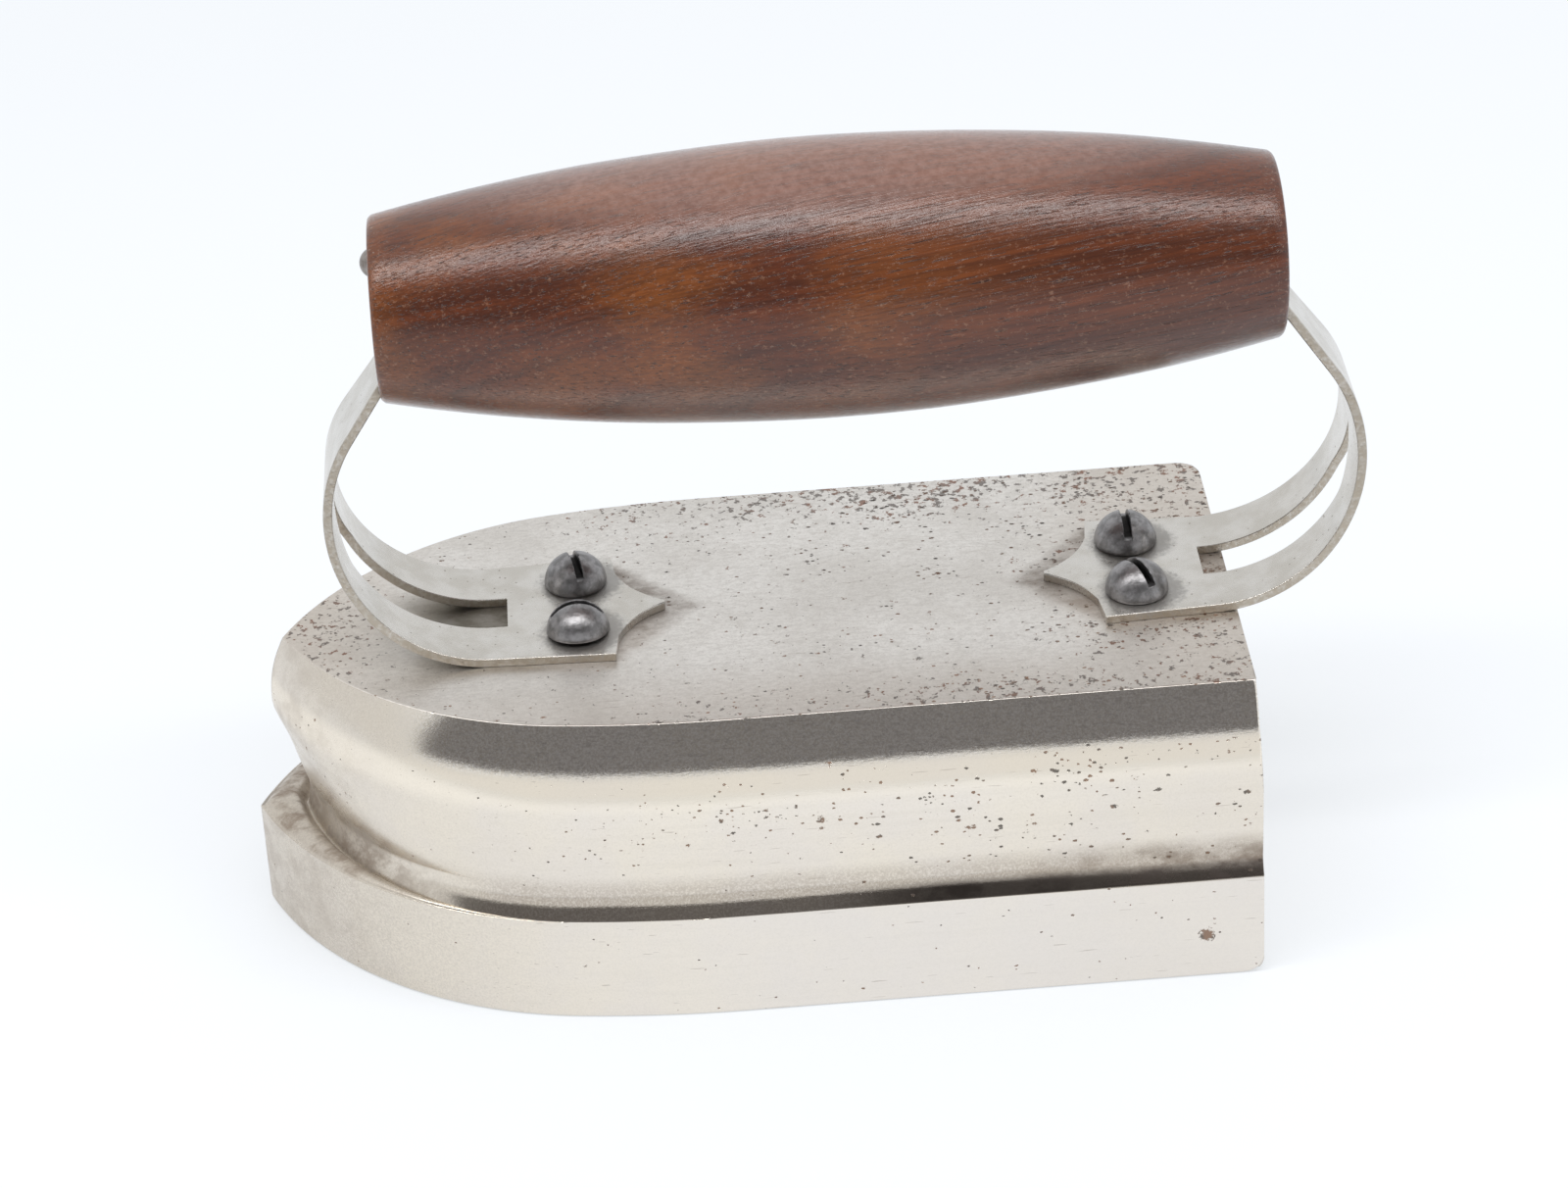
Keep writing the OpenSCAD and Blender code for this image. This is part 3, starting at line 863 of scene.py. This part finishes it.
def top_plate(p, cloud, crumb, grain):
    """Colour of the satin top: greyed by wear, browner at both ends and along the near edge."""
    top = p.mix(p.ramp(cloud, 0.35, 0.7), TOP_LIGHT, TOP_DARK)
    top = p.mix(p.ramp(grain, 0.42, 0.62, 0, 0.35), top, TOP_GRAIN)
    top = p.mix(p.ramp(crumb, 0.42, 0.66, 0, 0.30), top, TOP_CRUMB)
    ends = p.most(p.ramp(p.x, -40, -62, 0, 0.45), p.ramp(p.x, 38, 64, 0, 0.48))
    return p.mix(p.most(ends, p.ramp(p.y, -14, -27, 0, 0.30)), top, TOP_BROWN)


def top_density(p):
    """How thick the marks lie on the top: most along its edges, at the nose and towards the heel."""
    far_edge = p.times(p.ramp(p.y, 9, 27), p.ramp(p.x, -50, 0, 0.25, 1))
    near_edge = p.times(p.ramp(p.y, -17, -28), p.ramp(p.x, -40, 30, 0.45, 0.85))
    return p.most(far_edge, near_edge, p.ramp(p.x, -36, -56, 0, 0.8), p.ramp(p.x, 30, 60, 0.38, 0.8))


def scratches(p):
    """Fine lines in three directions."""
    lines = []
    for turn, low in ((0.25, 0.765), (-0.5, 0.775), (1.2, 0.77)):
        drawn_out = p.stretch((0.16, 3.2, 3.2), turn=(turn, turn, turn))
        lines.append(p.ramp(p.noise(drawn_out, 1.0, 1, 0.4), low, low + 0.02))
    return p.most(*lines)


def rust_pits(p, dense, crumb):
    """Pits of three sizes, and one larger blot low on the near side."""
    pits = []
    for scale, size, share in ((0.5, 0.14, 0.14), (1.0, 0.20, 0.6), (2.1, 0.28, 1.0)):
        distance, own = p.cells(p.stretch((scale * 0.65, scale, scale)))
        allowed = p.math("LESS_THAN", own[0], p.times(dense, share))
        radius = p.times(p.plus(own[1], 0.35), p.times(p.ramp(p.x, -20, 45, 1, 1.5), size))
        ragged = p.plus(distance, p.times(p.minus(crumb, 0.5), 0.9))
        pits.append(p.times(p.ramp(p.minus(radius, ragged), 0, 0.10), allowed))
    blot_x, blot_z = p.minus(p.x, BLOT_X), p.minus(p.z, BLOT_Z)
    blot = p.math("SQRT", p.plus(p.times(blot_x, blot_x), p.times(blot_z, blot_z)))
    blot = p.plus(blot, p.times(p.minus(crumb, 0.5), 3.0))
    return p.most(*pits, p.times(p.ramp(blot, 1.05, 0.8), p.ramp(p.y, 0, -1)))


def pad_stain_and_shade(p):
    """Zone round the points of both pads: brown stain and painted contact shade on the top."""
    zones = []
    for screw in (front_screw, rear_screw):
        across = p.size(p.y)
        away = p.plus(p.size(p.minus(p.x, screw.x)), p.times(across, 0.9))
        zones.append(p.times(p.ramp(away, 19, 14.5), p.ramp(across, 16, 12.5)))
    return p.most(*zones)


def plated_iron():
    """Worn nickel plate on the casting: polished sides, satin top, rust pits and stains."""
    p = Paint("plated_iron")
    x, y, z = p.x, p.y, p.z
    on_top = p.ramp(z, BODY_H - 0.12, BODY_H - 0.02)
    on_side = p.minus(1, on_top)
    cloud = p.noise(p.place, 0.06, 4, 0.6)
    grain = p.noise(p.stretch((0.8, 1.6, 1.6)), 1.0, 5, 0.7)
    crumb = p.noise(p.place, 3.2, 4, 0.7)
    plate = p.mix(on_top, side_plate(p, cloud, crumb), top_plate(p, cloud, crumb, grain))

    # Speckles on the top, and scratches
    top_dense = top_density(p)
    clusters = p.ramp(p.noise(p.stretch((0.7, 1, 1)), 0.11, 3), 0.36, 0.68)
    speckle = p.noise(p.stretch((0.86, 0.86, 1)), 1.0, 4, 0.65)
    threshold = p.minus(0.72, p.times(top_dense, p.plus(0.16, p.times(clusters, 0.055))))
    marks = p.times(p.ramp(p.minus(speckle, threshold), 0, 0.05), on_top)
    brown = p.mix(p.ramp(p.noise(p.place, 0.3, 2), 0.45, 0.62), SPECK_GREY, SPECK_RUST)
    plate = p.mix(p.times(marks, 0.85), plate, brown)
    plate = p.mix(p.times(scratches(p), 0.5), plate, SCRATCH)

    # Rust pits
    on_wall = p.times(p.ramp(z, 17, 31, 0.12, 1), p.ramp(z, 39, 36.5))
    wall_dense = p.times(p.ramp(x, -50, 10, 0.14, 0.5), on_wall)
    dense = p.plus(p.times(on_top, p.times(top_dense, 0.5)), p.times(on_side, wall_dense))
    dense = p.times(dense, p.plus(p.times(clusters, 0.6), 0.06))
    pits = rust_pits(p, dense, crumb)
    rust = p.mix(p.ramp(p.noise(p.place, 0.35, 2), 0.42, 0.58), PIT_BLACK, PIT_RUST)
    colour = p.mix(p.times(pits, 0.9), plate, rust)

    # Stains on the ledge and at the nose, brown stain with painted shade round the pads, and painted shade
    # with some stain along the crown's foot and under the front curl
    soot = p.ramp(p.noise(p.stretch((0.6, 1, 1)), 0.25, 5, 0.7), 0.40, 0.64)
    on_ledge = p.times(p.ramp(z, 15.9, 16.6), p.ramp(z, 24, 18.5))
    ledge_ends = p.most(p.ramp(x, -38, -58), p.ramp(x, 24, 62))
    ledge_stain = p.times(on_ledge, ledge_ends, p.plus(p.times(soot, 0.75), 0.25))
    nose_stain = p.times(p.ramp(x, -46, -68), on_side, p.plus(0.12, p.times(soot, 0.25)))
    # Round the pads: brown stain mixed with painted contact shade
    round_pads = p.times(pad_stain_and_shade(p), on_top, p.plus(p.times(soot, 0.5), 0.30))
    stain_and_shade = p.most(ledge_stain, p.most(nose_stain, round_pads))
    colour = p.mix(p.times(stain_and_shade, 0.8), colour, STAIN_AND_SHADE)
    # Along the crown's foot: painted shade in the crease, with a little brown stain
    band = p.times(above_flange(p), p.ramp(z, 19.0, 17.7), p.ramp(x, 4, 26))
    band = p.times(band, p.plus(0.76, p.times(soot, 0.20)))
    colour = p.mix(band, colour, BAND_SHADE_AND_STAIN)
    # Under the front curl: painted shade beneath the strap, with some stain
    under_curl = p.times(p.ramp(x, -26, -30), p.ramp(x, -52, -38), p.ramp(p.size(y), 11, 4), on_top)
    under_curl = p.times(under_curl, p.plus(p.times(soot, 0.2), 0.7))
    colour = p.mix(under_curl, colour, CURL_SHADE_AND_STAIN)

    # Polish, rougher on the top, at the nose and where it is rusted
    fine = p.noise(p.stretch((0.30, 6, 6)), 1.0, 4, 0.7)
    rough = p.plus(p.times(on_top, 0.30), 0.085, p.times(p.minus(fine, 0.5), 0.06))
    rough = p.plus(rough, p.times(p.ramp(x, -32, -62), 0.15), p.times(pits, 0.4), p.times(stain_and_shade, 0.35))
    matte = p.times(p.most(pits, stain_and_shade), p.minus(1, band))
    metal = p.minus(1, p.times(matte, 0.8))
    normal = p.bump(crumb, 0.003)
    normal = p.bump(fine, 0.004, below=normal)
    normal = p.bump(grain, 0.008, below=normal)
    normal = p.bump(p.times(p.most(pits, p.times(marks, 0.4)), -1), 0.04, below=normal)
    return p.finish(colour, rough, metal, normal)


STRAP_LIGHT, STRAP_DARK = (0.71, 0.685, 0.645), (0.61, 0.58, 0.53)
STRAP_SPOT, STRAP_EDGE, STRAP_GRIME = (0.16, 0.12, 0.09), (0.44, 0.37, 0.28), (0.26, 0.25, 0.24)


def plated_steel():
    """Worn nickel plate on the straps, browned on their cut edges and grimy round the screws."""
    p = Paint("plated_steel")
    cloud = p.noise(p.place, 0.18, 4, 0.6)
    fine = p.noise(p.stretch((0.6, 4, 0.6)), 1.0, 4, 0.65)
    crumb = p.noise(p.place, 1.4, 4, 0.7)
    colour = p.mix(p.ramp(cloud, 0.35, 0.65), STRAP_LIGHT, STRAP_DARK)
    specks, own = p.cells(p.place, 1.3)
    spot = p.times(p.ramp(specks, 0.26, 0.12), p.math("LESS_THAN", own[0], 0.10))
    colour = p.mix(p.times(spot, 0.65), colour, STRAP_SPOT)
    facing = p.split(p.coords.outputs["Normal"])
    edge = p.times(p.ramp(p.size(facing[1]), 0.75, 0.95), p.ramp(crumb, 0.30, 0.6, 0.35, 1))
    colour = p.mix(p.times(edge, 0.7), colour, STRAP_EDGE)
    rings = []
    for screw_x, screw_y in SCREW_PLACES:
        dx, dy = p.minus(p.x, screw_x + 0.8), p.minus(p.y, screw_y)
        away = p.math("SQRT", p.plus(p.times(dx, dx), p.times(dy, dy)))
        away = p.plus(away, p.times(p.minus(crumb, 0.5), 4))
        rings.append(p.ramp(away, 6.9, 4.8))
    grime = p.most(*rings)
    colour = p.mix(p.times(grime, 0.6), colour, STRAP_GRIME)
    worn = p.most(edge, grime)
    rough = p.plus(0.20, p.times(fine, 0.14), p.times(worn, 0.2))
    normal = p.bump(fine, 0.01)
    normal = p.bump(p.times(crumb, p.plus(worn, 0.08)), 0.10, below=normal)
    return p.finish(colour, rough, 1.0, normal)


# Colour down in the screws' slots: near black
SLOT_NEAR_BLACK = (0.022, 0.019, 0.017)


def dark_steel(name, colour_a, colour_b):
    """Oxidised steel of the screw heads and nails, near black down in the screws' slots."""
    p = Paint(name)
    cloud = p.noise(p.place, 0.7, 5, 0.65)
    fine = p.noise(p.place, 4, 4, 0.6)
    colour = p.mix(p.ramp(cloud, 0.35, 0.65), colour_a, colour_b)
    inside = []
    for screw_x, screw_y in SCREW_PLACES:
        dome = (screw_x, screw_y, SCREW_SEAT + HEAD_H - HEAD_DOME_R)
        inside.append(p.ramp(p.length(p.moved(p.place, dome)), HEAD_DOME_R - 0.25, HEAD_DOME_R - 1.0))
    deep = p.most(*inside)
    colour = p.mix(p.times(deep, 0.92), colour, SLOT_NEAR_BLACK)
    rough = p.plus(0.27, p.times(fine, 0.16), p.times(deep, 0.3))
    normal = p.bump(fine, 0.012)
    normal = p.bump(cloud, 0.10, below=normal)
    return p.finish(colour, rough, 0.97, normal)


WOOD_DARK, WOOD_LIGHT, WOOD_ORANGE = (0.060, 0.013, 0.004), (0.128, 0.029, 0.007), (0.26, 0.08, 0.012)
WOOD_FIBRE, WOOD_PORE = (0.026, 0.007, 0.004), (0.012, 0.005, 0.004)
# The first colour is worn lacquer that also paints the sheen on the grip's top.
WORN_TOP_AND_SHEEN, FADED, CHIPPED = (0.33, 0.20, 0.165), (0.34, 0.19, 0.12), (0.30, 0.20, 0.15)
GRAIN_SLANT = (0.12, math.radians(5), math.radians(-8))
HEART_Y, HEART_Z = -26, -31
GRAIN_WARP = 14


def lacquered_wood():
    """Reddish-brown hardwood with slanting grain and open pores under worn lacquer."""
    p = Paint("lacquered_wood")
    local = p.moved(p.place, GRIP_MID)
    along, _, up = p.split(local)

    # Grain: rings round a heart outside the grip, bent by a slow warp and drawn out along it
    warp = p.noise(p.stretch((0.02, 0.06, 0.06), local), 1.0, 2)
    slanted = p.stretch((1, 1, 1), local, GRAIN_SLANT)
    grain_x, grain_y, grain_z = p.split(slanted)
    bent = p.plus(grain_y, p.times(warp, GRAIN_WARP))
    from_y, from_z = p.minus(bent, HEART_Y), p.minus(grain_z, HEART_Z)
    radius = p.math("SQRT", p.plus(p.math("POWER", from_y, 2), p.math("POWER", from_z, 2)))
    combine = p.tree.nodes.new("ShaderNodeCombineXYZ")
    p.put(combine.inputs[0], p.times(radius, 0.6))
    p.put(combine.inputs[1], p.times(grain_x, 0.012))
    rings = p.noise(combine.outputs[0], 1.0, 4, 0.6)
    fibre = p.noise(p.stretch((0.06, 2.6, 2.6), slanted), 1.0, 5, 0.65)
    pores = p.ramp(p.noise(p.stretch((0.20, 4.6, 4.6), slanted), 1.0, 2, 0.5), 0.60, 0.70)
    patch = p.ramp(p.noise(p.stretch((0.6, 1, 1), local), 0.05, 3), 0.4, 0.62)
    scuff = p.noise(p.stretch((0.9, 1, 1), local), 0.9, 5, 0.7)
    colour = p.mix(p.ramp(rings, 0.30, 0.70), WOOD_DARK, WOOD_LIGHT)
    colour = p.mix(p.times(patch, p.ramp(along, 40, -10, 0.1, 1), 0.5), colour, WOOD_ORANGE)
    colour = p.mix(p.ramp(fibre, 0.35, 0.7, 0, 0.5), colour, WOOD_FIBRE)
    colour = p.mix(p.times(pores, 0.7), colour, WOOD_PORE)

    # Wear and painted sheen: a dry top that is also lightened as painted sheen, faded flecks lower down and
    # chipped rims
    worn_top_and_sheen = p.times(p.ramp(up, 13.5, 17.6), p.ramp(scuff, 0.30, 0.70, 0.5, 1))
    colour = p.mix(p.times(worn_top_and_sheen, 0.56), colour, WORN_TOP_AND_SHEEN)
    flecks = p.noise(p.stretch((0.7, 1, 1), local), 1.7, 4, 0.75)
    faded = p.times(p.ramp(up, 15, 9), p.ramp(flecks, 0.56, 0.68))
    colour = p.mix(p.times(faded, 0.34), colour, FADED)
    rims = p.ramp(p.size(along), GRIP_LEN / 2 - 4, GRIP_LEN / 2)
    chipped = p.times(rims, p.ramp(p.noise(local, 2.2, 3, 0.6), 0.58, 0.68))
    colour = p.mix(p.times(chipped, 0.5), colour, CHIPPED)

    rough = p.plus(0.30, p.times(scuff, 0.22))
    height = p.plus(p.times(pores, -1.0), p.times(fibre, 1.2))
    normal = p.bump(height, 0.045)
    normal = p.bump(scuff, 0.03, below=normal)
    p.put(p.shader.inputs["Coat Normal"], normal)
    lacquer = {"Specular_IOR_Level": 0.12, "Coat_Weight": 1.0, "Coat_Roughness": 0.085}
    return p.finish(colour, rough, 0.0, normal, **lacquer)


# ---------------------------------------------------------------- build

IRON = plated_iron()
STRAP = plated_steel()
SCREW = dark_steel("dark_steel", (0.36, 0.35, 0.355), (0.20, 0.195, 0.195))
NAIL = dark_steel("nail_steel", (0.34, 0.31, 0.29), (0.20, 0.17, 0.15))
WOOD = lacquered_wood()

front_start = box_mm("front_bow")[0].x + BOW_R
rear_start = box_mm("rear_bow")[1].x - BOW_R
make_body().data.materials.append(IRON)
make_bow("front_bow_strap", "front_bow", front_start, -1, FRONT_FLAT).data.materials.append(STRAP)
make_bow("rear_bow_strap", "rear_bow", rear_start, 1, REAR_FLAT).data.materials.append(STRAP)
make_grip().data.materials.append(WOOD)

# Each screw's slot angle and tilt, in degrees
SCREW_TURNS = (
    ("front_screw_near", 2, -8),
    ("front_screw_far", -78, 0),
    ("rear_screw_near", -62, 0),
    ("rear_screw_far", -89, 0),
)
for screw_node, turn, lean in SCREW_TURNS:
    screw = make_screw(screw_node + "_head", screw_node, turn, lean)
    screw.data.materials.clear()
    screw.data.materials.append(SCREW)
make_nail("front_nail", "front_grip_nail", -1).data.materials.append(NAIL)
make_nail("rear_nail", "rear_grip_nail", 1).data.materials.append(NAIL)

# ---------------------------------------------------------------- stage, in metres

scene.view_settings.view_transform = "Standard"


def flat_piece(name, width, depth, place, turn=(0, 0, 0)):
    mesh = bpy.data.meshes.new(name)
    w, d = width / 2, depth / 2
    mesh.from_pydata([(-w, -d, 0), (w, -d, 0), (w, d, 0), (-w, d, 0)], [], [(0, 1, 2, 3)])
    piece = bpy.data.objects.new(name, mesh)
    piece.location = place
    piece.rotation_euler = turn
    scene.collection.objects.link(piece)
    return piece


def glow_material(name, colour, strength, diffuse=None, share=1.0):
    """A glowing material, or a diffuse one with that share of glow."""
    material = bpy.data.materials.new(name)
    material.use_nodes = True
    tree = material.node_tree
    tree.nodes.clear()
    out = tree.nodes.new("ShaderNodeOutputMaterial")
    glow = tree.nodes.new("ShaderNodeEmission")
    glow.inputs["Color"].default_value = (*colour, 1)
    glow.inputs["Strength"].default_value = strength
    if diffuse is None:
        tree.links.new(glow.outputs[0], out.inputs["Surface"])
        return material
    matt = tree.nodes.new("ShaderNodeBsdfDiffuse")
    matt.inputs["Color"].default_value = (*diffuse, 1)
    both = tree.nodes.new("ShaderNodeMixShader")
    both.inputs[0].default_value = share
    tree.links.new(matt.outputs[0], both.inputs[1])
    tree.links.new(glow.outputs[0], both.inputs[2])
    tree.links.new(both.outputs[0], out.inputs["Surface"])
    return material


FLOOR_SIZE = 8
floor = flat_piece("floor", FLOOR_SIZE, FLOOR_SIZE, (0, 0, 0))
floor.data.materials.append(glow_material("floor", (0.95, 0.985, 1.0), 1.02, (0.83, 0.845, 0.885), 0.46))

# The dim room on the camera's side: seen only in reflections
room = flat_piece("dim_room", 0.92, 0.44, (-0.08, -0.30, 0.34), (math.radians(90), 0, 0))
room.data.materials.append(glow_material("dim_room", (1.0, 0.975, 0.985), 0.19))
room.visible_camera = False
room.visible_diffuse = False
room.visible_shadow = False
room.visible_transmission = False

world = bpy.data.worlds.new("studio")
world.use_nodes = True
sky = world.node_tree.nodes["Background"]
sky.inputs["Color"].default_value = (0.97, 0.985, 1.0, 1)
sky.inputs["Strength"].default_value = 0.87
scene.world = world

strip = bpy.data.lights.new("overhead", "AREA")
strip.shape = "RECTANGLE"
strip.size = 1.0
strip.size_y = 0.07
strip.energy = 2.1
lamp = bpy.data.objects.new("overhead", strip)
lamp.location = (0, -0.14, 0.55)
lamp.rotation_mode = "QUATERNION"
lamp.rotation_quaternion = (Vector((0, 0, 0.08)) - lamp.location).to_track_quat("-Z", "Y")
scene.collection.objects.link(lamp)

# ---------------------------------------------------------------- camera

FOCAL_LENGTH = 109.51425
SENSOR_WIDTH = 36
AZIMUTH, ELEVATION, ROLL = (math.radians(a) for a in (-1.813, 31.321, -3.37))
DISTANCE = 667.7
TARGET = Vector((6.906, -5.773, 48.586))

camera_data = bpy.data.cameras.new("camera")
camera_data.sensor_width = SENSOR_WIDTH
camera_data.lens = FOCAL_LENGTH
camera_data.clip_start = 0.01
camera = bpy.data.objects.new("camera", camera_data)
flat_dir = Vector((math.sin(AZIMUTH), -math.cos(AZIMUTH), 0))
back = flat_dir * math.cos(ELEVATION) + Vector((0, 0, math.sin(ELEVATION)))
right = (-back).cross(Vector((0, 0, 1))).normalized()
up = right.cross(-back)
rolled_right = math.cos(ROLL) * right + math.sin(ROLL) * up
rolled_up = math.cos(ROLL) * up - math.sin(ROLL) * right
facing = Matrix((rolled_right, rolled_up, back)).transposed().to_4x4()
camera.matrix_world = Matrix.Translation((TARGET + back * DISTANCE) * MM) @ facing
scene.collection.objects.link(camera)
scene.camera = camera
